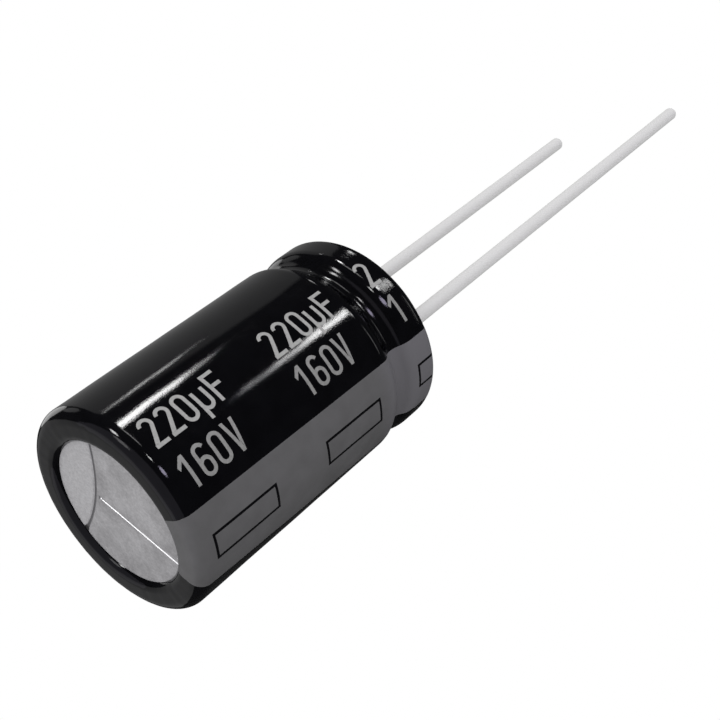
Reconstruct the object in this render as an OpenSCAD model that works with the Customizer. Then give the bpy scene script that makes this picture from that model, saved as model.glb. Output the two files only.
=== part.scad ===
// Radial aluminium electrolytic capacitor, 16 mm case, two wire leads.
// It stands on its can end. Z runs along the leads and X points to the long lead.
// The lowest plane of the sleeve's lip at the can end is z = 0, and the can's axis is x = y = 0.

/* [Can] */
// Outside diameter of the bare aluminium can
case_d = 16; // [15:0.5:18]
// Length of the bare can, from its end face to the top of its rolled rim
can_l = 25.7; // [22:0.1:36]
// Thickness of the drawn sheet
can_wall = 0.4; // [0.3:0.05:0.45]
// Outside radius of the corner between the wall and the closed end
end_corner_r = 0.85; // [0.7:0.05:1.1]
// Diameter of the flat vent panel in the closed end
panel_d = 11.9; // [11:0.1:12]
// How far the vent panel is pressed in from the end face
panel_recess = 0.275; // [0.15:0.025:0.35]
// Outside radius of the rounding between the end face and the panel
panel_edge_r = 0.6; // [0.5:0.05:0.8]

/* [Vent scores] */
// Width of the curved score, a V, at the surface
curved_score_w = 0.4; // [0.2:0.05:0.6]
// Depth of the curved score
curved_score_depth = 0.18; // [0.1:0.02:0.24]
// Width of the straight score, a finer V, at the surface
straight_score_w = 0.24; // [0.16:0.02:0.4]
// Depth of the straight score
straight_score_depth = 0.14; // [0.1:0.02:0.24]
// Direction of the straight score, in degrees from the long lead
score_turn = 26.4; // [0:0.1:90]
// Radius of the curved score
curved_score_r = 16; // [10:0.5:30]
// Distance of the curved score behind the centre
curved_score_back = 2.2; // [1:0.1:3.5]

/* [Bead and rim] */
// Distance from the middle of the bead to the top of the rim
bead_to_rim = 3.7; // [3.2:0.1:4.2]
// Depth of the bead that grips the seal
bead_depth = 0.84; // [0.5:0.02:1]
// Radius of the bead's valley, outside
bead_valley_r = 1.2; // [0.9:0.1:1.5]
// Radius of the two shoulders beside the bead, outside
bead_shoulder_r = 1.2; // [0.9:0.1:1.5]
// How much smaller the rim is than the wall, on the radius
rim_drop = 0.08; // [0:0.02:0.2]
// Outside radius of the rolled rim
curl_r = 0.6; // [0.55:0.05:0.8]
// Width of the flat land on top of the rim
rim_land = 0.3; // [0.2:0.05:0.5]
// How far the rim is rolled over, in degrees
curl_turn = 150; // [120:5:160]

/* [Sleeve] */
// Thickness of the shrunk sleeve
sleeve_wall = 0.18; // [0.1:0.01:0.3]
// Width of the polarity stripe, in degrees round the can
stripe_turn = 44; // [20:1:60]
// Direction of the stripe's middle, in degrees from the long lead
stripe_middle = 5; // [-90:1:90]
// Thickness of the stripe's ink
ink_t = 0.01; // [0.005:0.005:0.03]

/* [Rubber seal] */
// Thickness of the seal
seal_t = 5.4; // [4.8:0.1:6.4]
// Depth of the seal's face below the top of the rim
seal_recess = 0.3; // [0.2:0.05:0.34]
// Chamfer round the seal's inner face
seal_chamfer = 0.4; // [0.2:0.1:0.8]
// Diameter of the dimple round each lead
dimple_d = 3; // [2.4:0.1:3.6]
// Depth of the dimple
dimple_depth = 0.25; // [0.1:0.05:0.4]

/* [Leads] */
// Diameter of the lead wires
lead_d = 1.2; // [0.8:0.05:1.3]
// Distance between the two leads
lead_pitch = 7.5; // [6.5:0.1:7.8]
// Length of the long lead above the seating plane
long_lead_l = 46.8; // [20:0.1:60]
// Length of the short lead above the seating plane
short_lead_l = 37.3; // [15:0.1:55]
// Radius of the rounding at a lead's tip
tip_r = 0.45; // [0.1:0.05:0.5]

/* [Tabs] */
// Diameter of the round boss that passes through the seal
boss_d = 2.3; // [1.8:0.1:2.5]
// Height of the weld bead between boss and wire
weld_l = 0.9; // [0.6:0.1:1.4]
// Diameter of the weld bead where it meets the boss
weld_d = 2; // [1.5:0.1:2.3]
// Length of the neck where the boss is pressed flat
neck_l = 1.2; // [0.8:0.1:1.6]
// Depth of the step where the pressed flats start on the round boss
flat_step = 0.12; // [0.05:0.01:0.3]
// Width of the flat paddle
paddle_w = 3; // [2.4:0.1:3.4]
// Thickness of the paddle
paddle_t = 0.35; // [0.25:0.05:0.5]
// Length of the paddle inside the roll
paddle_l = 13; // [8:0.5:15]

/* [Wound element] */
// Free height between the roll and the seal
headroom = 1.5; // [1.3:0.1:3]
// Gap between the taped roll and the can's wall
roll_side_gap = 0.15; // [0.1:0.05:0.4]
// Diameter of the hole that the winding spindle leaves
core_d = 2; // [1.5:0.1:2.6]
// Distance from one turn to the next
turn_pitch = 0.8; // [0.6:0.1:1.2]
// Width of the sunk foil edges between the standing paper edges
foil_w = 0.35; // [0.2:0.05:0.4]
// How far the paper stands past the foils at both ends
paper_margin = 0.8; // [0.4:0.1:1.2]

/* [Closing tape] */
// Thickness of the tape round the roll
tape_t = 0.08; // [0.05:0.01:0.12]
// Distance of the tape from both ends of the roll
tape_margin = 1.5; // [1.2:0.1:4]
// Overlap of the tape's ends, in degrees
tape_overlap = 40; // [20:5:90]

/* [Fits] */
// Clearance between nested pieces, on the radius
fit_gap = 0.02; // [0.01:0.01:0.05]
// Clearance between a paddle and its pocket in the roll
pocket_gap = 0.05; // [0.02:0.01:0.1]

/* [Hidden] */

$fn = 96;
arc_steps = 10;
past = 1;

case_r = case_d / 2;
rim_r = case_r - rim_drop;
lead_r = lead_d / 2;
boss_r = boss_d / 2;
weld_r = weld_d / 2;
core_r = core_d / 2;
panel_r = panel_d / 2;

// Heights, from the sleeve's lip at the can end up to the tips
sleeve_stand = fit_gap + sleeve_wall;
can_end_z = sleeve_stand;
panel_z = can_end_z + panel_recess;
can_floor_z = panel_z + can_wall;
rim_top_z = can_end_z + can_l;
seating_z = rim_top_z + sleeve_stand;
bead_z = rim_top_z - bead_to_rim;
curl_z = rim_top_z - curl_r;
seal_top_z = rim_top_z - seal_recess;
seal_bottom_z = seal_top_z - seal_t;
boss_top_z = seal_top_z - weld_l;
roll_top_z = seal_bottom_z - headroom;
neck_top_z = roll_top_z + fit_gap + neck_l;
paddle_bottom_z = roll_top_z - paddle_l;

// The end face is rounded into the recess of the vent panel, and the sleeve follows it down to the panel
panel_edge_z = can_end_z + panel_edge_r;
panel_edge_x = panel_r + sqrt(pow(panel_edge_r, 2) - pow(panel_edge_z - panel_z, 2));

// The bead is three arcs that meet on common tangents
bead_span = bead_shoulder_r + bead_valley_r;
low_dip = acos((bead_span - bead_depth) / bead_span);
high_dip = acos((bead_span - bead_depth + rim_drop) / bead_span);
valley_x = case_r - bead_depth + bead_valley_r;

// The rim is rolled over in two arcs with the flat land between them
curl_x = rim_r - curl_r;
curl_end_x = curl_x - rim_land;

// Radii inside the can
bore_r = case_r - can_wall;
tape_r = bore_r - roll_side_gap;
roll_r = tape_r - 2 * tape_t - fit_gap;

function arc(x, z, r, from, to) = [
    for (i = [0 : arc_steps])
        let (a = from + (to - from) * i / arc_steps) [x + r * cos(a), z + r * sin(a)]
];

// The rounding beside the vent panel, from height z down to the end face, at distance d outside the skin
function panel_edge_line(d, z) =
    arc(panel_edge_x, panel_edge_z, panel_edge_r + d, 180 + asin((panel_edge_z - z) / (panel_edge_r + d)), 270);

// The can's wall from its closed end to the start of the rim's land, at distance d outside its outer skin
function wall_line(d) = concat(
    arc(case_r - end_corner_r, can_end_z + end_corner_r, end_corner_r + d, -90, 0),
    bead_line(d),
    arc(curl_x, curl_z, curl_r + d, 0, 90)
);

function bead_line(d) = concat(
    arc(case_r - bead_shoulder_r, bead_z - bead_span * sin(low_dip), bead_shoulder_r + d, 0, low_dip),
    arc(valley_x, bead_z, bead_valley_r - d, 180 + low_dip, 180 - high_dip),
    arc(rim_r - bead_shoulder_r, bead_z + bead_span * sin(high_dip), bead_shoulder_r + d, -high_dip, 0)
);

// The rolled edge inward of the land
function curl_end_line(d) = arc(curl_end_x, curl_z, curl_r + d, 90, curl_turn);

function backwards(points) = [for (i = [len(points) - 1 : -1 : 0]) points[i]];

module sleeve_section() {
    edge_z = panel_z - fit_gap;
    inner = concat(panel_edge_line(fit_gap, edge_z), wall_line(fit_gap));
    outer = concat(panel_edge_line(sleeve_stand, edge_z), wall_line(sleeve_stand));
    polygon(concat(
        outer,
        [[curl_end_x, seating_z], [curl_end_x, rim_top_z + fit_gap]],
        backwards(inner)
    ));
}

// The stripe's ink lies on the film, between the planes that the sleeve's two ends lie in
module stripe_section() {
    outer = [for (p = wall_line(sleeve_stand + ink_t)) if (p[1] > 0 && p[1] < seating_z) p];
    polygon(concat(outer, backwards(wall_line(sleeve_stand - ink_t))));
}

// Heat-shrunk film sleeve, lapped over both ends, with its printed polarity stripe
module sleeve() {
    color([0.03, 0.03, 0.04]) rotate_extrude() sleeve_section();
    color([0.35, 0.35, 0.36])
        rotate([0, 0, stripe_middle - stripe_turn / 2])
            rotate_extrude(angle = stripe_turn) stripe_section();
}

module score_section(w, depth) {
    polygon([[-w / 2, 0], [w / 2, 0], [0, depth]]);
}

// The straight score runs from the curved one through the centre to the edge of the panel
module straight_score() {
    translate([-curved_score_back, 0, panel_z])
        rotate([90, 0, 90])
            linear_extrude(curved_score_back + panel_r)
                score_section(straight_score_w, straight_score_depth);
}

// The curved score bulges towards the centre and ends at the edge of the panel
module curved_score() {
    centre_x = -curved_score_back - curved_score_r;
    half_turn = acos((centre_x * centre_x + curved_score_r * curved_score_r - panel_r * panel_r)
        / (-2 * centre_x * curved_score_r));
    translate([centre_x, 0, panel_z])
        rotate([0, 0, -half_turn])
            rotate_extrude(angle = 2 * half_turn)
                translate([curved_score_r, 0])
                    score_section(curved_score_w, curved_score_depth);
}

// Deep-drawn aluminium can with a scored vent, a bead and a rolled rim
module can() {
    skin = concat(wall_line(0), curl_end_line(0));
    inside = concat(wall_line(-can_wall), curl_end_line(-can_wall));
    color([0.66, 0.66, 0.66])
        difference() {
            rotate_extrude()
                polygon(concat(
                    [[0, panel_z]],
                    panel_edge_line(0, panel_z),
                    skin,
                    backwards(inside),
                    [[panel_edge_x, can_end_z + can_wall], [panel_r, can_floor_z], [0, can_floor_z]]
                ));
            rotate([0, 0, score_turn]) {
                straight_score();
                curved_score();
            }
        }
}

// What passes through the seal: the boss, the weld bead and the wire, with a clearance
module lead_way(side) {
    way_r = lead_r + (weld_r - lead_r) * dimple_depth / weld_l + fit_gap;
    translate([side * lead_pitch / 2, 0, 0])
        rotate_extrude()
            polygon([
                [0, seal_bottom_z - past],
                [boss_r + fit_gap, seal_bottom_z - past],
                [boss_r + fit_gap, boss_top_z + fit_gap],
                [weld_r + fit_gap, boss_top_z + fit_gap],
                [way_r, seal_top_z - dimple_depth],
                [dimple_d / 2, seal_top_z],
                [dimple_d / 2, seal_top_z + past],
                [0, seal_top_z + past]
            ]);
}

// Moulded rubber seal: a waist under the bead, and a shoulder that fills the rolled rim
module rubber_seal() {
    skin_gap = -can_wall - fit_gap;
    lip_r = curl_r + skin_gap;
    lip_turn = curl_turn + asin(fit_gap / lip_r);
    lip_rise = (seal_top_z - curl_z) / tan(lip_turn);
    color([0.12, 0.12, 0.12])
        difference() {
            rotate_extrude()
                polygon(concat(
                    [[0, seal_bottom_z], [bore_r - fit_gap - seal_chamfer, seal_bottom_z]],
                    [[bore_r - fit_gap, seal_bottom_z + seal_chamfer]],
                    bead_line(skin_gap),
                    arc(curl_x, curl_z, lip_r, 0, 90),
                    arc(curl_end_x, curl_z, lip_r, 90, lip_turn),
                    [[curl_end_x + lip_rise, seal_top_z], [0, seal_top_z]]
                ));
            lead_way(1);
            lead_way(-1);
        }
}

// Tinned wire with a rounded tip. Inside the seal its foot widens into the weld bead on the boss.
module lead_wire(side, length) {
    tip_z = seating_z + length;
    color([0.78, 0.78, 0.78])
        translate([side * lead_pitch / 2, 0, 0])
            rotate_extrude()
                polygon(concat(
                    [[0, boss_top_z], [weld_r, boss_top_z], [lead_r, seal_top_z]],
                    arc(lead_r - tip_r, tip_z - tip_r, tip_r, 0, 90),
                    [[0, tip_z]]
                ));
}

module long_lead_wire() {
    lead_wire(1, long_lead_l);
}

module short_lead_wire() {
    lead_wire(-1, short_lead_l);
}

// The neck is a cone pressed flat from both sides, and trimmed to the paddle's width
module tab_neck() {
    foot_r = norm([paddle_w, paddle_t]) / 2 + flat_step;
    pressed = boss_r - flat_step;
    intersection() {
        cylinder(h = neck_l, r1 = foot_r, r2 = boss_r);
        rotate([90, 0, 0])
            linear_extrude(paddle_w, center = true)
                polygon([[-paddle_t / 2, 0], [paddle_t / 2, 0], [pressed, neck_l], [-pressed, neck_l]]);
    }
}

// Aluminium tab: a round boss through the seal, pressed into a flat paddle that lies in the roll
module lead_tab(side) {
    color([0.72, 0.72, 0.74])
        translate([side * lead_pitch / 2, 0, 0]) {
            translate([0, 0, neck_top_z]) cylinder(h = boss_top_z - neck_top_z, r = boss_r);
            translate([0, 0, neck_top_z - neck_l]) tab_neck();
            translate([-paddle_t / 2, -paddle_w / 2, paddle_bottom_z])
                cube([paddle_t, paddle_w, neck_top_z - neck_l - paddle_bottom_z]);
        }
}

module long_lead_tab() {
    lead_tab(1);
}

module short_lead_tab() {
    lead_tab(-1);
}

module paddle_pocket(side) {
    t = paddle_t + 2 * pocket_gap;
    w = paddle_w + 2 * pocket_gap;
    translate([side * lead_pitch / 2 - t / 2, -w / 2, paddle_bottom_z - pocket_gap])
        cube([t, w, paddle_l + pocket_gap + past]);
}

// One spiral groove, made of half turns whose centres alternate so that each meets the next
module spiral_groove(z) {
    half_turns = floor(2 * (roll_r - core_r - turn_pitch - foil_w) / turn_pitch);
    for (i = [0 : half_turns - 1])
        translate([(i % 2) * turn_pitch / 2, 0, z])
            rotate([0, 0, (i % 2) * 180])
                rotate_extrude(angle = 180)
                    translate([core_r + turn_pitch / 2 + i * turn_pitch / 2, 0])
                        square([foil_w, paper_margin]);
}

// Roll of anode foil, cathode foil and paper. The paper edges stand past the foils at both ends.
module wound_element() {
    color([0.80, 0.74, 0.60])
        difference() {
            translate([0, 0, can_floor_z]) cylinder(h = roll_top_z - can_floor_z, r = roll_r);
            translate([0, 0, can_floor_z - past])
                cylinder(h = roll_top_z - can_floor_z + 2 * past, r = core_r);
            spiral_groove(can_floor_z);
            spiral_groove(roll_top_z - paper_margin);
            paddle_pocket(1);
            paddle_pocket(-1);
        }
}

module tape_turn(inner_r, turn) {
    rotate_extrude(angle = turn)
        translate([inner_r, can_floor_z + tape_margin])
            square([tape_t, roll_top_z - can_floor_z - 2 * tape_margin]);
}

// One turn of adhesive tape that closes the roll, with its end lapped over its start
module winding_tape() {
    color([0.86, 0.78, 0.45]) {
        tape_turn(roll_r + fit_gap, 360);
        tape_turn(roll_r + fit_gap + tape_t, tape_overlap);
    }
}

sleeve();
can();
rubber_seal();
long_lead_wire();
short_lead_wire();
long_lead_tab();
short_lead_tab();
wound_element();
winding_tape();
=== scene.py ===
import math

import bpy
import numpy as np
from mathutils import Matrix, Vector


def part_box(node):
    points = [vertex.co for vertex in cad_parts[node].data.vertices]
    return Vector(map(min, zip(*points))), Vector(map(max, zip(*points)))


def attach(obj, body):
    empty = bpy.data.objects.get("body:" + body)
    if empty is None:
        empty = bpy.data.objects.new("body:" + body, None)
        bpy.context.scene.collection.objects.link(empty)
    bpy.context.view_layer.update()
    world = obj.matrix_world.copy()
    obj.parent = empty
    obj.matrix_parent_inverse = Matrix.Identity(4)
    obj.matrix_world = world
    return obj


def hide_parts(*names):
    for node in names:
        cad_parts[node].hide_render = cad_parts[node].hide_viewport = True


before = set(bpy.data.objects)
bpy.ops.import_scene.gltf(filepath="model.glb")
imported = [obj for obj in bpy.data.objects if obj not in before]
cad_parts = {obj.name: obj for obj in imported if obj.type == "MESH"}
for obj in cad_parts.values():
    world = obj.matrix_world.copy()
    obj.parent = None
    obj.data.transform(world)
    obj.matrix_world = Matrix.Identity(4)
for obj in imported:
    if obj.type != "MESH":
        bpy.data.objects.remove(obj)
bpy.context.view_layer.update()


# Film sleeve. A tube of black polyester film, printed flat and shrunk on with hot air, so it laps
# over both ends of the can and sinks into the bead. One light stripe marks a lead's polarity.
mm = 0.001
film_r, film_top = (np.array(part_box("sleeve")[1]) / mm)[1:]
can_low, can_high = (np.array(corner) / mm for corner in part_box("can"))
can_r = can_high[0]
film_skin = can_low[2]
rim_top = can_high[2]
film_gap = 0.02
panel_r = 5.95
panel_z = film_skin + 0.275
panel_edge_r = 0.6
panel_edge_z = film_skin + panel_edge_r
panel_edge_x = panel_r + math.sqrt(panel_edge_r**2 - (panel_edge_z - panel_z) ** 2)
corner_r = 0.85
bead_middle = rim_top - 3.7
bead_depth = 0.84
bead_arc_r = 1.2
rim_drop = 0.08
curl_r = 0.6
rim_land = 0.3
curl_turn = 150
curl_end = can_r - rim_drop - curl_r - rim_land
film_edge_r = 0.05
ink_rise = 0.01
stripe_middle = 5
stripe_turn = 44
stripe_edges = (stripe_middle - stripe_turn / 2, stripe_middle + stripe_turn / 2)
near_drift, near_drift_top = 2.2, 20
far_drift, far_drift_top = 12, 22.4
rim_drift, rim_drift_start = 4.5, 23.6
drift_limits = (-60, 100)
film_columns = 312
film_steps = (22, 82, 12)


def arc(x, z, r, start, end, steps):
    """Points on a circle about (x, z): x + r cos a and z + r sin a, with a in even steps in degrees."""
    a = np.radians(np.linspace(start, end, steps + 1))
    return np.stack([x + r * np.cos(a), z + r * np.sin(a)], axis=1)


def line(start, end, steps):
    """Points in even steps on the straight line from start to end, both included."""
    share = np.linspace(0, 1, steps + 1)[:, None]
    return np.array(start) * (1 - share) + np.array(end) * share


def joined(*stretches):
    """Stretches of an outline laid end to end, where each leaves out its first point."""
    return np.concatenate([stretches[0]] + [stretch[1:] for stretch in stretches[1:]])


def bead_outline(outside, steps):
    """The bead at a distance outside the can's skin: three arcs that meet where their tangents agree.

    A shoulder of radius R bends in by acos((2R - depth) / 2R), the valley bends back, and the upper
    shoulder bends out again to a rim that is smaller by rim_drop."""
    span = 2 * bead_arc_r
    low_dip = math.acos((span - bead_depth) / span)
    high_dip = math.acos((span - bead_depth + rim_drop) / span)
    low, high = math.degrees(low_dip), math.degrees(high_dip)
    shoulder, valley = bead_arc_r + outside, bead_arc_r - outside
    low_z = bead_middle - span * math.sin(low_dip)
    high_z = bead_middle + span * math.sin(high_dip)
    return joined(
        arc(can_r - bead_arc_r, low_z, shoulder, 0, low, steps),
        arc(can_r - bead_depth + bead_arc_r, bead_middle, valley, 180 + low, 180 - high, steps),
        arc(can_r - rim_drop - bead_arc_r, high_z, shoulder, -high, 0, steps),
    )


def panel_edge(outside, z, steps):
    """The rounding from the vent panel's edge down to the end ring, from height z to the lowest point."""
    r = panel_edge_r + outside
    start = 180 + math.degrees(math.asin((panel_edge_z - z) / r))
    return arc(panel_edge_x, panel_edge_z, r, start, 270, steps)


def wall_outline(outside, corner_steps, wall_steps, bead_steps):
    """The can's side at a distance outside its skin: corner arc, straight wall, bead, then the curl."""
    corner = arc(can_r - corner_r, film_skin + corner_r, corner_r + outside, -90, 0, corner_steps)
    bead = bead_outline(outside, bead_steps)
    curl = arc(can_r - rim_drop - curl_r, rim_top - curl_r, curl_r + outside, 0, 90, bead_steps)
    return joined(corner, line(corner[-1], bead[0], wall_steps), bead, line(bead[-1], curl[0], 4), curl)


def surface(name, points, material, closed_along):
    """A mesh from a grid of points, closed round its second direction.

    Along its first direction the grid closes on itself, or ends in a pole at the middle of each end row.
    Edges that bend by more than 40 degrees stay sharp."""
    rows, columns = points.shape[:2]
    index = np.arange(rows * columns).reshape(rows, columns)
    rings = np.vstack([index, index[:1]]) if closed_along else index
    here, there = rings[:-1], rings[1:]
    quads = np.stack([here, np.roll(here, -1, 1), np.roll(there, -1, 1), there], axis=-1)
    places = points.reshape(-1, 3)
    faces = quads.reshape(-1, 4).tolist()
    if not closed_along:
        poles = np.stack([points[0].mean(axis=0), points[-1].mean(axis=0)])
        first, last = len(places), len(places) + 1
        start = np.stack([np.full(columns, first), np.roll(index[0], -1), index[0]], axis=-1)
        end = np.stack([index[-1], np.roll(index[-1], -1), np.full(columns, last)], axis=-1)
        places = np.concatenate([places, poles])
        faces += start.tolist() + end.tolist()
    mesh = bpy.data.meshes.new(name)
    mesh.from_pydata((places * mm).tolist(), [], faces)
    mesh.validate()
    mesh.shade_smooth()
    mesh.set_sharp_from_angle(angle=math.radians(40))
    mesh.materials.append(material)
    piece = bpy.data.objects.new(name, mesh)
    bpy.context.collection.objects.link(piece)
    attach(piece, "root")
    return piece


def turned(outline, turns):
    """A grid of points: each outline point (r, z) turned about the axis to x = r cos t, y = r sin t."""
    r, z = outline[..., 0], outline[..., 1]
    return np.stack([r * np.cos(turns), r * np.sin(turns), z + 0 * turns], axis=-1)


def new_material(name, **values):
    """A material of one Principled shader. Plain values go on the shader's own sockets."""
    material = bpy.data.materials.new(name)
    material.use_nodes = True
    shader = material.node_tree.nodes["Principled BSDF"]
    for socket, value in values.items():
        shader.inputs[socket.replace("_", " ")].default_value = value
    return material, material.node_tree, shader


def add(tree, kind, feeds=None, output=0, **settings):
    """Adds a node, feeds its sockets by name or number with values or other outputs, and gives an output."""
    node = tree.nodes.new("ShaderNode" + kind)
    for setting, value in settings.items():
        setattr(node, setting, value)
    for socket, value in (feeds or {}).items():
        if isinstance(value, bpy.types.NodeSocket):
            tree.links.new(value, node.inputs[socket])
        else:
            node.inputs[socket].default_value = value
    return node.outputs[output]


def maths(tree, operation, *values):
    """One sum of the values, each a number or another output."""
    return add(tree, "Math", dict(enumerate(values)), operation=operation)


def place_in_mm(tree):
    """The piece's own coordinates, in millimetres."""
    place = add(tree, "TexCoord", output="Object")
    return add(tree, "Mapping", {"Vector": place, "Scale": (1 / mm, 1 / mm, 1 / mm)})


def noise(tree, place, scale, detail=3, roughness=0.5, stretch=(1, 1, 1)):
    """Cloudy noise from 0 to 1. Scale counts its lumps in a millimetre, and stretch draws them out."""
    drawn = add(tree, "Mapping", {"Vector": place, "Scale": stretch})
    return add(tree, "TexNoise", {"Vector": drawn, "Scale": scale, "Detail": detail, "Roughness": roughness})


def mapped(tree, value, low, high, smooth=False):
    """The value's range 0.3 to 0.7, where noise mostly lies, spread over low to high."""
    kind = "SMOOTHSTEP" if smooth else "LINEAR"
    return add(tree, "MapRange", {"Value": value, 1: 0.3, 2: 0.7, 3: low, 4: high}, interpolation_type=kind)


def mixed(tree, share, low, high):
    """A colour that goes from low to high with the share. Each is a plain colour or another output."""
    ends = [end if isinstance(end, bpy.types.NodeSocket) else (*end, 1) for end in (low, high)]
    return add(tree, "Mix", {0: share, 6: ends[0], 7: ends[1]}, 2, data_type="RGBA")


def bumped(tree, shader, height, depth):
    """Feeds the shader a bump of the given depth in millimetres."""
    normal = add(tree, "Bump", {"Height": height, "Strength": 1.0, "Distance": depth * mm})
    tree.links.new(normal, shader.inputs["Normal"])


def between(tree, value, low, high, soft):
    """1 where the value lies between low and high, and 0 outside, with a ramp of width soft."""
    middle, half = (low + high) / 2, (high - low) / 2
    off = maths(tree, "ABSOLUTE", maths(tree, "SUBTRACT", value, middle))
    ramp = {"Value": off, 1: half - soft / 2, 2: half + soft / 2, 3: 1.0, 4: 0.0}
    return add(tree, "MapRange", ramp)


def film_wave(turns, z):
    """How far the film lies inward, in mm: three crossed long waves, and fine gathers where it laps the end.

    Each gather runs along a radius of the lip and fades out over the corner."""
    long_waves = (
        0.002
        + 0.004 * (1 + np.sin(3 * turns + 0.9 * z))
        + 0.003 * (1 + np.sin(5 * turns - 0.63 * z + 1.3))
        + 0.002 * (1 + np.sin(9 * turns + 1.7 * z + 4.1))
    )
    gathers = 6 + np.sin(31 * turns + 0.4) + np.sin(47 * turns + 1.9) * np.sin(5 * turns)
    gather_depth, gather_reach = 0.0025, 0.9
    near_lip = np.clip(1 - z / gather_reach, 0, 1) ** 2
    return long_waves + gather_depth * gathers * near_lip


def drawn_round(turns, z):
    """How far the film has crept round the can as it shrank, at given turns and heights.

    Each edge of the stripe moves in proportion to the height, and the far one comes back inside the bead.
    Between the edges, and out to the limits on both sides, the way falls off in proportion to the turn."""
    near = np.interp(z, [0, near_drift_top], [0, near_drift])
    far = np.interp(z, [0, far_drift_top, rim_drift_start], [0, far_drift, rim_drift])
    knots = np.radians([drift_limits[0], *stripe_edges, drift_limits[1]])
    to_near = np.interp(turns, knots, [0, 1, 0, 0])
    to_far = np.interp(turns, knots, [0, 0, 1, 0])
    return np.radians(near * to_near + far * to_far)


def film_turns():
    """Even turns round the axis, with two close pairs more where the stripe's ink begins and ends."""
    edge = np.radians(stripe_edges)
    half_gap = 0.0006
    pairs = np.concatenate([edge - half_gap, edge + half_gap])
    even = np.linspace(-math.pi, math.pi, film_columns, endpoint=False)
    return np.sort(np.concatenate([even, pairs]))


def film_skin_outline():
    """The film's outer outline, from its edge on the vent panel over lip, wall, bead and curl to the rim."""
    edge = panel_edge(film_skin, panel_z - film_gap, 16)
    side = wall_outline(film_skin, *film_steps)
    lip = line(edge[-1], side[0], 4)
    land = line(side[-1], (curl_end + film_edge_r, film_top), 3)
    end_edge = arc(curl_end + film_edge_r, film_top - film_edge_r, film_edge_r, 90, 180, 4)
    return joined(edge, lip, side, land, end_edge)


def film_inside_outline():
    """The film's inner outline, back down from the rim to the vent panel, a hair outside the can."""
    side = wall_outline(film_gap, 8, 20, 6)
    edge = panel_edge(film_gap, panel_z - film_gap, 6)
    return np.concatenate([[[curl_end, side[-1, 1]]], side[::-1], edge[::-1]])


def film_grid():
    """The sleeve's closed section turned about the axis. The skin moves inward by the film's waves.

    The stripe's columns stand out by the ink's thickness, from the lip to the rim, and all columns
    follow the film's way round the can."""
    turns = film_turns()[None, :]
    skin = film_skin_outline()
    along = np.gradient(skin, axis=0)
    out = np.stack([along[:, 1], -along[:, 0]], axis=1)
    out /= np.linalg.norm(out, axis=1)[:, None]
    skin_turns = turns + drawn_round(turns, skin[:, 1:2])
    wave = film_wave(skin_turns, skin[:, 1:2])
    in_stripe = np.abs(turns - math.radians(stripe_middle)) < math.radians(stripe_turn / 2)
    on_side = (skin[:, 0:1] > panel_edge_x) & (skin[:, 1:2] < film_top - film_edge_r)
    rise = ink_rise * (in_stripe & on_side) - wave
    skin_grid = skin[:, None, :] + out[:, None, :] * rise[..., None]
    inside = np.repeat(film_inside_outline()[:, None, :], turns.shape[1], axis=1)
    inside_turns = turns + drawn_round(turns, inside[..., 1])
    return turned(np.concatenate([skin_grid, inside]), np.concatenate([skin_turns, inside_turns]))


def stripe_ink(tree, place):
    """1 where the stripe is inked. The lines of its three boxes stay bare.

    The stripe lies between two turns that move with the height as drawn_round says. A box's line is the
    box grown by half its width, less the box shrunk by as much."""
    box_turns = (-1.2, 12.4)
    box_starts, box_length = (1.75, 13.05, 23.9), 5.95
    box_line = 0.22
    beyond = 0.6
    x, y, z = (add(tree, "SeparateXYZ", {0: place}, output=axis) for axis in range(3))
    turn = maths(tree, "ARCTAN2", y, x)
    near_edge, far_edge = np.radians(stripe_edges)

    def way(start, end, drift):
        """0 to the drift, in radians, from one height to another."""
        return add(tree, "MapRange", {"Value": z, 1: start, 2: end, 3: 0, 4: math.radians(drift)})

    back = way(far_drift_top, rim_drift_start, far_drift - rim_drift)
    from_near = maths(tree, "SUBTRACT", turn, way(0, near_drift_top, near_drift))
    from_far = maths(tree, "ADD", maths(tree, "SUBTRACT", turn, way(0, far_drift_top, far_drift)), back)
    past_near = between(tree, from_near, near_edge, far_edge + beyond, 0.002)
    before_far = between(tree, from_far, near_edge - beyond, far_edge, 0.002)
    inked = maths(tree, "MULTIPLY", past_near, before_far)

    boxed = []
    for grow in (box_line / 2, -box_line / 2):
        first, last = np.radians(box_turns) + np.array([-1, 1]) * grow / film_r
        across = between(tree, from_near, first, last, 0.003)
        along = [between(tree, z, start - grow, start + box_length + grow, 0.03) for start in box_starts]
        beside = maths(tree, "MAXIMUM", maths(tree, "MAXIMUM", along[0], along[1]), along[2])
        boxed.append(maths(tree, "MULTIPLY", across, beside))
    outline = maths(tree, "SUBTRACT", *boxed)
    return maths(tree, "MULTIPLY", inked, maths(tree, "SUBTRACT", 1.0, outline))


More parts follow.
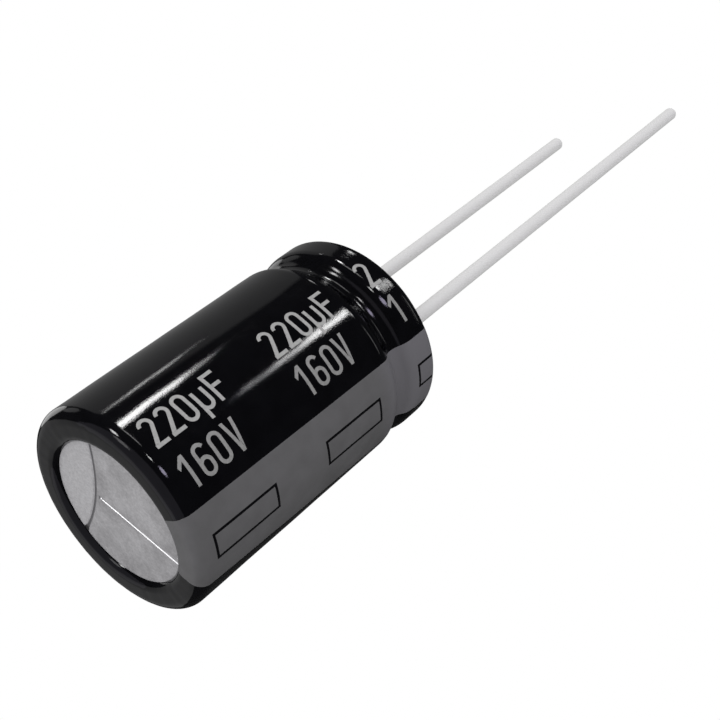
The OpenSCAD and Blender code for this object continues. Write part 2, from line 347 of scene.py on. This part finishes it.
def film_material():
    """Glossy black film with a satin grey stripe. From just below the bead up to the rim, the stripe's grey
    is painted paler: a painted sheen for the light the bead catches.

    Inside the bead the film is a little less glossy."""
    bead_light_start, bead_light_end = 19.0, 21.5
    bead_foot, bead_top = bead_middle - 1.1, bead_middle + 1.0
    material, tree, shader = new_material("black_film", IOR=1.5)
    place = place_in_mm(tree)
    ink = stripe_ink(tree, place)
    z = add(tree, "SeparateXYZ", {0: place}, output=2)
    mottle = mapped(tree, noise(tree, place, 0.7, 4), 0.0, 1.0)
    film = mixed(tree, mottle, (0.0012, 0.0012, 0.0018), (0.0022, 0.0022, 0.003))
    grey = mixed(tree, mottle, (0.098, 0.097, 0.098), (0.113, 0.112, 0.114))
    # Painted light: from these heights upward the stripe's grey is painted paler, for the sheen the bead
    # catches.
    heights = {"Value": z, 1: bead_light_start, 2: bead_light_end}
    painted_bead_light = add(tree, "MapRange", heights, interpolation_type="SMOOTHSTEP")
    grey = mixed(tree, painted_bead_light, grey, (0.132, 0.129, 0.138))
    tree.links.new(mixed(tree, ink, film, grey), shader.inputs["Base Color"])
    smooth = mapped(tree, noise(tree, place, 1.6, 5), 0.04, 0.07)
    in_bead = between(tree, z, bead_foot, bead_top, 0.7)
    film_rough = maths(tree, "MULTIPLY_ADD", in_bead, 0.05, smooth)
    ink_rough = mapped(tree, noise(tree, place, 6, 3), 0.34, 0.42)
    rough = add(tree, "Mix", {0: ink, 2: film_rough, 3: ink_rough})
    tree.links.new(rough, shader.inputs["Roughness"])
    peel = noise(tree, place, 9, 3, 0.6)
    bumped(tree, shader, peel, 0.003)
    return material


sleeve_film = surface("sleeve_film", film_grid(), film_material(), closed_along=True)
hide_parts("sleeve")


# Rating print. Light grey ink of about a hundredth of a millimetre, printed on the flat film before it
# was shrunk on. It reads along the can, in two rows side by side that repeat along the body.
glyph_w = 1.15
glyph_h = 2.4
pen_w = 0.29
bowl_r = (glyph_w - pen_w) / 2
pen_out, pen_in = bowl_r + pen_w / 2, bowl_r - pen_w / 2
small_h = 1.75
tail_depth = 0.55


def ring_piece(x, y, start, end, steps=14):
    """Two edges of a curved stroke about (x, y), from one angle to another."""
    return arc(x, y, pen_out, start, end, steps), arc(x, y, pen_in, start, end, steps)


def bar(left, right, low, high):
    """Two edges of an upright or level bar that fills the given box."""
    if high - low > right - left:
        return line((left, low), (left, high), 12), line((right, low), (right, high), 12)
    return line((left, high), (right, high), 6), line((left, low), (right, low), 6)


def run_on(*pieces):
    """Strokes that follow on one another, as one pair of edges."""
    return tuple(np.concatenate([piece[side] for piece in pieces]) for side in (0, 1))


def left_side():
    """Two edges of a straight left side, from a ring piece at the top down to one at the bottom."""
    high, low = glyph_h - pen_out, pen_out
    return line((0, high), (0, low), 10)[1:-1], line((pen_w, high), (pen_w, low), 10)[1:-1]


def zero():
    """A closed loop: a half ring at the top and at the bottom, with straight sides between."""
    top = ring_piece(glyph_w / 2, glyph_h - pen_out, 0, 180)
    left = left_side()
    bottom = ring_piece(glyph_w / 2, pen_out, 180, 360)
    right = (left[0][::-1] + (glyph_w, 0), left[1][::-1] + (glyph_w - 2 * pen_w, 0))
    return [(run_on(top, left, bottom, right), True)]


def one():
    """A stem at the right of the middle, with a slanted flag set against it."""
    stem_x = 0.56
    stem = bar(stem_x, stem_x + pen_w, 0, glyph_h)
    upper = line((0.02, glyph_h - 0.62), (stem_x, glyph_h), 8)
    lower = line((0.12, glyph_h - 0.93), (stem_x, glyph_h - 0.42), 8)
    return [(stem, False), ((upper, lower), False)]


def two():
    """A ring piece over the top runs into a slant, which ends on the foot bar."""
    hook = ring_piece(glyph_w / 2, glyph_h - pen_out, 175, -25)
    right, left = 0.43, 0.04
    slant = (line(hook[0][-1], (right, pen_w), 10)[1:], line(hook[1][-1], (left, pen_w), 10)[1:])
    return [(run_on(hook, slant), False), (bar(0, glyph_w, 0, pen_w), False)]


def six():
    """One stroke from the top down the left side and round the bowl, back to its own inner edge."""
    bowl_h = 1.45
    bowl_top = bowl_h - pen_out
    top = ring_piece(glyph_w / 2, glyph_h - pen_out, 25, 180)
    bottom = ring_piece(glyph_w / 2, pen_out, 180, 360)
    meets = math.degrees(math.acos(-pen_in / pen_out))
    outer = arc(glyph_w / 2, bowl_top, pen_out, 0, meets, 14)
    back = (outer, arc(glyph_w / 2, bowl_top, pen_in, 0, 180, 14))
    return [(run_on(top, left_side(), bottom, back), False)]


def micro():
    """A stem that goes below the line, and a bowl that starts at the stem's edge and ends upright."""
    meets = 360 - math.degrees(math.acos(-pen_in / pen_out))
    outer = arc(glyph_w / 2, pen_out, pen_out, meets, 360, 14)
    bowl = (outer, arc(glyph_w / 2, pen_out, pen_in, 180, 360, 14))
    right = (line((glyph_w, pen_out), (glyph_w, small_h), 8)[1:],
             line((glyph_w - pen_w, pen_out), (glyph_w - pen_w, small_h), 8)[1:])
    return [(bar(0, pen_w, -tail_depth, small_h), False), (run_on(bowl, right), False)]


def farad():
    """A stem with two arms set against it, the lower one shorter."""
    arm_foot, arm_end = 1.12, glyph_w - 0.15
    return [
        (bar(0, pen_w, 0, glyph_h), False),
        (bar(pen_w, glyph_w, glyph_h - pen_w, glyph_h), False),
        (bar(pen_w, arm_end, arm_foot, arm_foot + pen_w), False),
    ]


def volt():
    """Two slanted legs that meet on the middle line above a blunt foot."""
    half, foot, fork = glyph_w / 2, 0.14, 0.62
    leg = line((0, glyph_h), (half - foot, 0), 12)
    outer = joined(leg, line(leg[-1], (half, 0), 2))
    inner = line((pen_w, glyph_h), (half, fork), len(outer) - 1)
    mirrored = (inner * (-1, 1) + (glyph_w, 0), outer * (-1, 1) + (glyph_w, 0))
    return [((outer, inner), False), (mirrored, False)]


def film_radius(z):
    """The film's outer radius at a height on its side."""
    side = wall_outline(film_skin, *film_steps)
    return np.interp(z, side[:, 1], side[:, 0])


def on_film(flat, base_turn, base_z, rise):
    """Flat print laid on the film: its first direction runs up the can, its second against the turn."""
    z = base_z + flat[..., 0]
    turns = base_turn - flat[..., 1] / film_r
    r = film_radius(z) - film_wave(turns, z) + rise
    return np.stack([r * np.cos(turns), r * np.sin(turns), z], axis=-1)


def ink_stroke(edges, loop, shift, base_turn, base_z):
    """Vertices and faces of one stroke: a four-sided section carried along between its two edges.

    The section's top is narrower than its foot, which lies just under the film's skin."""
    first, second = (edge + (shift, 0) for edge in edges)
    inward = (second - first) / np.linalg.norm(second - first, axis=1)[:, None]
    bevel, sunk, proud = 0.012, -0.004, 0.012
    rows = [
        on_film(first, base_turn, base_z, sunk),
        on_film(first + inward * bevel, base_turn, base_z, proud),
        on_film(second - inward * bevel, base_turn, base_z, proud),
        on_film(second, base_turn, base_z, sunk),
    ]
    section = np.stack(rows, axis=1)
    count = len(section)
    index = np.arange(count * 4).reshape(count, 4)
    rings = np.vstack([index, index[:1]]) if loop else index
    here, there = rings[:-1], rings[1:]
    quads = np.stack([here, there, np.roll(there, -1, 1), np.roll(here, -1, 1)], axis=-1).reshape(-1, 4)
    if not loop:
        quads = np.vstack([quads, index[0], index[-1][::-1]])
    return section.reshape(-1, 3), quads


def outward(places, quads):
    """The faces, turned over if the solid they enclose has a negative volume."""
    a, b, c, d = (places[quads[:, corner]] for corner in range(4))
    volume = np.sum(a * np.cross(b, c)) + np.sum(a * np.cross(c, d))
    return quads if volume > 0 else quads[:, ::-1]


def rating_row(name, glyphs, foot_turn, advance, starts, material):
    """One row of print and its repeats, laid on the film as one mesh.

    Each start is the height where a repeat begins, and how many of the glyphs it has."""
    places, faces, count = [], [], 0
    for base_z, shown in starts:
        for number, glyph in enumerate(glyphs[:shown]):
            for edges, loop in glyph():
                spots, quads = ink_stroke(edges, loop, number * advance, math.radians(foot_turn), base_z)
                faces.append(outward(spots, quads) + count)
                places.append(spots)
                count += len(spots)
    mesh = bpy.data.meshes.new(name)
    mesh.from_pydata((np.concatenate(places) * mm).tolist(), [], np.concatenate(faces).tolist())
    mesh.materials.append(material)
    piece = bpy.data.objects.new(name, mesh)
    bpy.context.collection.objects.link(piece)
    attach(piece, "root")


def print_material(name, low, high):
    """Grey ink, a little thin in places, with a grey from low to high."""
    material, tree, shader = new_material(name, Roughness=0.45)
    place = place_in_mm(tree)
    thin = mapped(tree, noise(tree, place, 5, 4), 0.0, 1.0)
    colour = mixed(tree, thin, (low, low, 0.97 * low), (high, high, 0.97 * high))
    tree.links.new(colour, shader.inputs["Base Color"])
    return material


value_row = (two, two, zero, micro, farad)
value_turn, value_advance = -48.85, 1.46
value_starts = ((1.66, 5), (13.0, 5), (23.6, 1))
# The two rows share one ink, painted in two greys: lighter for the value row and darker for the volt row.
# This is painted light and shade for how the light falls on each row.
lit_value_ink = print_material("lit_value_ink", 0.27, 0.34)
rating_row("rating_value_print", value_row, value_turn, value_advance, value_starts, lit_value_ink)
volt_row = (one, six, zero, volt)
volt_turn, volt_advance = -24.45, 1.43
volt_starts = ((1.75, 4), (13.05, 4), (23.6, 1))
shaded_volt_ink = print_material("shaded_volt_ink", 0.19, 0.25)
rating_row("rating_volt_print", volt_row, volt_turn, volt_advance, volt_starts, shaded_volt_ink)


# Can. Deep drawn from aluminium sheet in one piece, matt from drawing and washing. Its flat vent panel
# is pressed in a little, and two coined scores let it tear open before the can can burst.
sheet = 0.4
score_turn = 26.4
curved_score_r = 16.0
curved_score_x = -2.2 - curved_score_r
curved_score = (0.2, 0.14)
straight_score = (0.12, 0.14)
score_start = -1.66
spot_r, spot_widening = 0.13, 1.5
run_out_start, run_out_end = 5.2, 5.8
score_fade = 0.06
panel_dish = 0.02
panel_rings = 85
can_columns = 560


def can_turns():
    """Turns round the axis, drawn together where the straight score runs to the panel's edge.

    An even turn u is moved by -0.3 sin u - 0.1 sin 2u, measured from the score."""
    even = np.linspace(-math.pi, math.pi, can_columns, endpoint=False)
    return math.radians(score_turn) + even - 0.3 * np.sin(even) - 0.1 * np.sin(2 * even)


def coined(off, half_width, depth):
    """The depth of a coined groove at a distance from its middle: a V that falls in proportion."""
    return depth * np.clip(1 - np.abs(off) / half_width, 0, 1)


def panel_grid(turns):
    """The vent panel on rings and turns. Two coined scores sink into it.

    One follows a circle whose middle lies behind the panel's, and runs out wider and deeper at one end.
    The other starts beside it with a wider spot, and follows the radius to the panel's edge. The panel
    itself is a shallow paraboloid, and both scores fade out just before its edge. The rings follow the
    power 0.92 of even steps, so they lie a little closer together further out."""
    even = np.linspace(0, 1, panel_rings)
    rings = np.concatenate([[0.001], even[1:] ** 0.92])[:, None] * panel_r
    along = rings * np.cos(turns - math.radians(score_turn))
    across = rings * np.sin(turns - math.radians(score_turn))
    from_curve = np.hypot(along - curved_score_x, across) - curved_score_r
    spot = np.where(np.abs(along - score_start) < spot_r, spot_widening, 1)
    straight = coined(across / spot, *straight_score) * spot * (along > score_start - spot_r)
    run_out = 1 + 0.5 * np.interp(rings, [run_out_start, run_out_end], [0, 1]) * (across > 0)
    sunk = np.maximum(coined(from_curve / run_out, *curved_score) * run_out, straight)
    fades = np.clip((panel_r - rings) / score_fade, 0, 1)
    dished = panel_dish * (1 - (rings / panel_r) ** 2)
    return np.stack([rings + 0 * turns, panel_z - dished + sunk * fades], axis=-1)


def can_grid():
    """The panel, then the rest of the can's section: rounded edge, side, curl, and back inside."""
    turns = can_turns()[None, :]
    edge = panel_edge(0, panel_z, 8)[1:]
    skin = wall_outline(0, 6, 6, 6)
    lip = arc(curl_end, rim_top - curl_r, curl_r, 90, curl_turn, 6)
    lip_back = arc(curl_end, rim_top - curl_r, curl_r - sheet, curl_turn, 90, 4)
    inside = wall_outline(-sheet, 4, 2, 4)[::-1]
    floor = np.array([[panel_edge_x, film_skin + sheet], [panel_r, panel_z + sheet], [0.2, panel_z + sheet]])
    rest = np.concatenate([edge, skin, lip, lip_back, inside, floor])
    rest = np.repeat(rest[:, None, :], turns.shape[1], axis=1)
    return turned(np.concatenate([panel_grid(turns), rest]), turns)


def can_material():
    """Matt aluminium with a fine grain and soft darker clouds. The straight score is coined bright.

    The part behind the curved score is set paler, and that score's floor is painted dark, as painted shade
    in its recess."""
    groove_from, deep_from = panel_z + 0.012, panel_z + 0.06
    material, tree, shader = new_material("matt_aluminium")
    place = place_in_mm(tree)
    turned_back = add(tree, "Mapping", {"Vector": place, "Rotation": (0, 0, -math.radians(score_turn))})
    along, across, z = (add(tree, "SeparateXYZ", {0: turned_back}, output=axis) for axis in range(3))
    on_line = between(tree, across, -spot_r, spot_r, 0.02)
    past_start = maths(tree, "GREATER_THAN", along, score_start - spot_widening * spot_r)
    sunk = maths(tree, "GREATER_THAN", z, groove_from)
    on_panel = maths(tree, "LESS_THAN", z, panel_z + sheet / 2)
    groove = maths(tree, "MULTIPLY", sunk, on_panel)
    bright = maths(tree, "MULTIPLY", maths(tree, "MULTIPLY", on_line, past_start), groove)
    clouds = noise(tree, place, 0.45, 5, 0.6)
    grain = noise(tree, place, 5, 4, 0.75)
    ends = {0: turned_back, 1: (curved_score_x, 0, panel_z)}
    from_centre = add(tree, "VectorMath", ends, "Value", operation="DISTANCE")
    behind = maths(tree, "MULTIPLY", maths(tree, "LESS_THAN", from_centre, curved_score_r), 0.9)
    cloudy = maths(tree, "MAXIMUM", mapped(tree, clouds, 0.0, 0.7, True), behind)
    speck = mapped(tree, grain, 0.0, 1.0)
    dark = mixed(tree, cloudy, (0.277, 0.272, 0.276), (0.447, 0.443, 0.447))
    pale = mixed(tree, cloudy, (0.415, 0.41, 0.413), (0.66, 0.655, 0.66))
    matt = mixed(tree, speck, dark, pale)
    # Painted shade: the curved score's floor is painted dark for the shade in its recess.
    deep = maths(tree, "MULTIPLY", maths(tree, "GREATER_THAN", z, deep_from), on_panel)
    matt_with_painted_shade = mixed(tree, deep, matt, (0.19, 0.188, 0.192))
    tree.links.new(mixed(tree, bright, matt_with_painted_shade, (0.92, 0.92, 0.92)), shader.inputs["Base Color"])
    tree.links.new(add(tree, "Mix", {0: bright, 2: 0.3, 3: 1.0}), shader.inputs["Metallic"])
    matt_rough = mapped(tree, grain, 0.42, 0.55)
    tree.links.new(add(tree, "Mix", {0: bright, 2: matt_rough, 3: 0.22}), shader.inputs["Roughness"])
    plain = maths(tree, "SUBTRACT", 1.0, bright)
    bumped(tree, shader, maths(tree, "MULTIPLY", grain, plain), 0.005)
    return material


def shade_panel_flat(shell):
    """Flat shading for the vent panel's faces, so that light turns sharply at the scores' walls.

    They are the grid's first quads, up to the first row of the rounded edge, and the triangles round its
    first pole, which stand before those of the last pole."""
    columns = can_turns().size
    panel_rows = len(panel_grid(can_turns()[None, :]))
    flat = np.zeros(len(shell.data.polygons), dtype=bool)
    flat[: panel_rows * columns] = True
    flat[-2 * columns : -columns] = True
    shell.data.polygons.foreach_set("use_smooth", ~flat)


can_shell = surface("can_shell", can_grid(), can_material(), closed_along=False)
shade_panel_flat(can_shell)
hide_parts("can")


# End seal. A moulded plug of black rubber, pushed in round the leads, held by the bead and the rolled rim.
# Its face is matt, with flow marks and a bloom of pale dust from the mould.
def seal_material():
    """Matt black rubber: a fine grain, and a pale bloom in wide clouds."""
    material, tree, shader = new_material("seal_rubber", IOR=1.52)
    place = place_in_mm(tree)
    bloom = mapped(tree, noise(tree, place, 0.8, 5, 0.65), 0.0, 1.0, True)
    colour = mixed(tree, bloom, (0.012, 0.012, 0.013), (0.028, 0.028, 0.027))
    tree.links.new(colour, shader.inputs["Base Color"])
    grain = noise(tree, place, 12, 4, 0.7)
    tree.links.new(mapped(tree, grain, 0.55, 0.75), shader.inputs["Roughness"])
    bumped(tree, shader, grain, 0.01)
    return material


def finish_node(name, material):
    """Gives a node of the frame its finish, on every slot that its mesh has."""
    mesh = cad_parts[name].data
    if not mesh.materials:
        mesh.materials.append(material)
    for slot in range(len(mesh.materials)):
        mesh.materials[slot] = material


finish_node("rubber_seal", seal_material())


# Lead wires. Steel-cored wire, tinned and left matt, cut with a rounded end. Each foot widens into the
# weld bead that joins it to its tab inside the seal.
lead_r = 0.6
weld_r = 1.0
foot_r = 0.3
tip_r = 0.45
swell = 0.003
seal_face = rim_top - 0.3


def lead_grid(node):
    """The wire's outline turned about its own axis: weld foot, straight wire, and a quarter arc at the tip.

    The straight wire swells and narrows by a few thousandths of a millimetre, as drawn wire does."""
    low, high = (np.array(corner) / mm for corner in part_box(node))
    middle = (low[:2] + high[:2]) / 2
    shaft = line((lead_r, seal_face), (lead_r, high[2] - tip_r), 160)
    shaft[:, 0] -= swell * (1 + np.sin(0.9 * shaft[:, 1] + middle[0]))
    tip = arc(lead_r - tip_r, high[2] - tip_r, tip_r, 0, 86, 8)
    outline = np.concatenate([[[foot_r, low[2]], [weld_r, low[2]]], shaft, tip[1:]])
    turns = np.linspace(-math.pi, math.pi, 48, endpoint=False)[None, :]
    outline = np.repeat(outline[:, None, :], turns.shape[1], axis=1)
    return turned(outline, turns) + (middle[0], middle[1], 0)


def tin_material():
    """Matt tin: pale grey, with a fine grain and faint draw lines along the wire."""
    material, tree, shader = new_material("matt_tin")
    place = place_in_mm(tree)
    grain = noise(tree, place, 9, 4, 0.65)
    drawn = noise(tree, place, 7, 3, 0.6, stretch=(1, 1, 0.04))
    spots = mapped(tree, grain, 0.0, 1.0)
    colour = mixed(tree, spots, (0.60, 0.60, 0.59), (0.635, 0.635, 0.625))
    tree.links.new(colour, shader.inputs["Base Color"])
    tree.links.new(mapped(tree, drawn, 0.6, 0.75), shader.inputs["Roughness"])
    bumped(tree, shader, maths(tree, "ADD", grain, drawn), 0.0006)
    return material


matt_tin = tin_material()
for node in ("long_lead_wire", "short_lead_wire"):
    wire = surface(node + "_tinned", lead_grid(node), matt_tin, closed_along=False)
    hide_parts(node)


# Lead tabs. Aluminium bosses cold-pressed flat at one end and stitched to the foils. They are bright
# where the press has touched them.
def tab_material():
    """Bright pressed aluminium: fine press marks across a clean grey metal."""
    material, tree, shader = new_material("pressed_aluminium", Metallic=1.0)
    place = place_in_mm(tree)
    marks = noise(tree, place, 5, 4, 0.6, stretch=(1, 1, 0.15))
    tone = mapped(tree, marks, 0.0, 1.0)
    colour = mixed(tree, tone, (0.66, 0.66, 0.68), (0.80, 0.80, 0.82))
    tree.links.new(colour, shader.inputs["Base Color"])
    tree.links.new(mapped(tree, marks, 0.28, 0.45), shader.inputs["Roughness"])
    bumped(tree, shader, marks, 0.006)
    return material


pressed_aluminium = tab_material()
for node in ("long_lead_tab", "short_lead_tab"):
    finish_node(node, pressed_aluminium)


# Wound element. Anode foil, paper, cathode foil and paper again, wound on a spindle as one roll and
# soaked in electrolyte. The cut edges of the paper stand past the foils at both ends.
def roll_material():
    """Soaked paper: fibres laid round the roll, and darker patches where it is wetter."""
    material, tree, shader = new_material("soaked_paper", Roughness=0.6, IOR=1.45)
    place = place_in_mm(tree)
    fibre = noise(tree, place, 6, 5, 0.7, stretch=(0.4, 0.4, 3))
    wet = mapped(tree, noise(tree, place, 0.5, 4, 0.6), 0.0, 1.0, True)
    pale = mixed(tree, mapped(tree, fibre, 0.0, 1.0), (0.60, 0.50, 0.33), (0.74, 0.66, 0.48))
    tree.links.new(mixed(tree, wet, pale, (0.50, 0.39, 0.22)), shader.inputs["Base Color"])
    bumped(tree, shader, fibre, 0.02)
    return material


finish_node("wound_element", roll_material())


# Closing tape. One turn of adhesive film round the roll, lapped over its own start, so that the roll
# keeps tight while it is soaked and canned.
def tape_material():
    """Yellow film tape: smooth and a little milky, with fine lines from its coating."""
    material, tree, shader = new_material("yellow_tape", IOR=1.5)
    place = place_in_mm(tree)
    lines = noise(tree, place, 4, 4, 0.6, stretch=(0.3, 0.3, 2))
    colour = mixed(tree, mapped(tree, lines, 0.0, 1.0), (0.70, 0.52, 0.14), (0.80, 0.64, 0.22))
    tree.links.new(colour, shader.inputs["Base Color"])
    tree.links.new(mapped(tree, lines, 0.22, 0.34), shader.inputs["Roughness"])
    bumped(tree, shader, lines, 0.004)
    return material


finish_node("winding_tape", tape_material())


# Floor. A plain white sheet that the part stands on. The camera looks up from below its level, so the
# sheet shows only its upper face, and it holds back no light of the lamps that stand under it.
def floor_material():
    """White paper near the part, which fades into plain white further out. Its underside is clear."""
    near, far = 30, 150
    white_paper = (0.9, 0.9, 0.9, 1)
    material, tree, shader = new_material("floor_paper", Base_Color=white_paper, Roughness=0.8)
    place = place_in_mm(tree)
    distance = add(tree, "VectorMath", {0: place}, "Value", operation="LENGTH")
    spread = {"Value": distance, 1: near, 2: far}
    outer = add(tree, "MapRange", spread, interpolation_type="SMOOTHSTEP")
    white = add(tree, "Emission", {"Strength": 1.0})
    clear = add(tree, "BsdfTransparent")
    back = add(tree, "NewGeometry", output="Backfacing")
    top = add(tree, "MixShader", {0: outer, 1: shader.outputs[0], 2: white})
    both = add(tree, "MixShader", {0: back, 1: top, 2: clear})
    tree.links.new(both, tree.nodes["Material Output"].inputs["Surface"])
    return material


floor_r = 600 * mm
floor_mesh = bpy.data.meshes.new("floor")
floor_corners = [(x * floor_r, y * floor_r, 0) for x, y in ((-1, -1), (1, -1), (1, 1), (-1, 1))]
floor_mesh.from_pydata(floor_corners, [], [(0, 1, 2, 3)])
floor_mesh.materials.append(floor_material())
floor = bpy.data.objects.new("floor", floor_mesh)
bpy.context.collection.objects.link(floor)
floor.visible_shadow = False
floor.visible_diffuse = False
floor.visible_glossy = False
floor.visible_transmission = False


# Studio. A white surround, which the glossy film sees dimmed as by black cards, and soft lamps placed
# by the mirror angles of the streaks and spots that they leave on the film.
def studio_world():
    """White to the camera, plain soft light to matt surfaces, and nearly dark to glossy ones."""
    fill, mirrored = 0.75, 0.03
    world = bpy.data.worlds.new("studio")
    bpy.context.scene.world = world
    world.use_nodes = True
    tree = world.node_tree
    tree.nodes.clear()
    seen = add(tree, "LightPath", output="Is Camera Ray")
    through = add(tree, "LightPath", output="Is Transmission Ray")
    glossy = add(tree, "LightPath", output="Is Glossy Ray")
    strength = maths(tree, "MULTIPLY_ADD", glossy, mirrored - fill, fill)
    strength = maths(tree, "MAXIMUM", strength, maths(tree, "MAXIMUM", seen, through))
    background = add(tree, "Background", {"Color": (1, 1, 1, 1), "Strength": strength})
    output = tree.nodes.new("ShaderNodeOutputWorld")
    tree.links.new(background, output.inputs["Surface"])


studio_world()
lamp_target = Vector((0, 0, 12)) * mm
lamp_distance = 1000


def lamp(name, turn, rise, wide, tall, radiance, lean=0, colour=(1, 1, 1), shape="ELLIPSE"):
    """An area lamp a metre off, aimed at the body's middle. All its angles are degrees as seen from there.

    Its power is pi times its area times the radiance, so its size doesn't change how bright it looks."""
    turn, rise = math.radians(turn), math.radians(rise)
    back = Vector((math.cos(rise) * math.cos(turn), math.cos(rise) * math.sin(turn), math.sin(rise)))
    side = Vector((0, 0, 1)).cross(back).normalized()
    up = back.cross(side)
    width, height = (2 * lamp_distance * math.tan(math.radians(size) / 2) * mm for size in (wide, tall))
    light = bpy.data.lights.new(name, "AREA")
    light.shape = shape
    light.size, light.size_y = width, height
    light.energy = math.pi * radiance * width * height * (math.pi / 4 if shape == "ELLIPSE" else 1)
    light.color = colour
    lit = bpy.data.objects.new(name, light)
    place = Matrix.Translation(lamp_target + back * lamp_distance * mm)
    facing = Matrix((side, up, back)).transposed().to_4x4()
    lit.matrix_world = place @ facing @ Matrix.Rotation(math.radians(lean), 4, "Z")
    lit.visible_camera = False
    bpy.context.collection.objects.link(lit)


lamp("streak_lamp", -104.5, 25.8, 5, 10.5, 22, lean=40)
lamp("thin_streak_lamp", -130.4, 28.0, 0.9, 5.2, 14, lean=25)
lamp("second_streak_lamp", -57.6, 35.8, 4.5, 4.4, 14)
lamp("second_streak_end_lamp", -58.6, 38.2, 7, 1.6, 30)
lamp("second_streak_tail_lamp", -57, 33.2, 4, 3, 0.4, colour=(0.6, 0.7, 1))
lamp("body_end_lamp", -114.5, 42.6, 7, 2, 10)
lamp("groove_patch_lamp", 178, 7, 30, 28, 1.3)
lamp("groove_side_lamp", -156, 1, 20, 22, 0.35)
lamp("lavender_lamp", -42, 9, 10, 22, 7, colour=(0.82, 0.76, 1))
lamp("rim_patch_lamp", -55.5, 41.9, 9, 2, 14)
lamp("rim_edge_lamp", -17, 47.5, 26, 6, 1.3)
lamp("lip_corner_lamp", -87, 19, 26, 6, 3)
lamp("side_box_lamp", -172, 34, 80, 30, 0.2, shape="RECTANGLE")
lamp("end_box_lamp", 145, -34, 56, 66, 0.22, shape="RECTANGLE")
lamp("under_lamp", -100, -89, 100, 100, 0.22, colour=(0.88, 0.85, 1))
lamp("score_lamp", -101, -48.5, 15, 15, 1.6)
lamp("bead_spot_lamp", -103, -27, 7, 13, 14)
lamp("bead_sliver_lamp", -59, 0, 6, 8, 14)


# Camera. Set to the photo's viewing angle: it looks up at the can end from below, past the vent to the
# leads, which run away from it.
camera_place = Vector((61.9041, -47.7514, -34.6646)) * mm
camera_right = Vector((0.760818, 0.186279, 0.621656))
camera_up = Vector((-0.200789, -0.843348, 0.498446))
camera_data = bpy.data.cameras.new("camera")
camera_data.sensor_width = 36
camera_data.lens = 61.8434
camera_data.clip_start = 1 * mm
camera = bpy.data.objects.new("camera", camera_data)
camera_back = camera_right.cross(camera_up)
camera_turn = Matrix((camera_right, camera_up, camera_back)).transposed().to_4x4()
camera.matrix_world = Matrix.Translation(camera_place) @ camera_turn
bpy.context.collection.objects.link(camera)
bpy.context.scene.camera = camera

bpy.context.scene.view_settings.view_transform = "Standard"
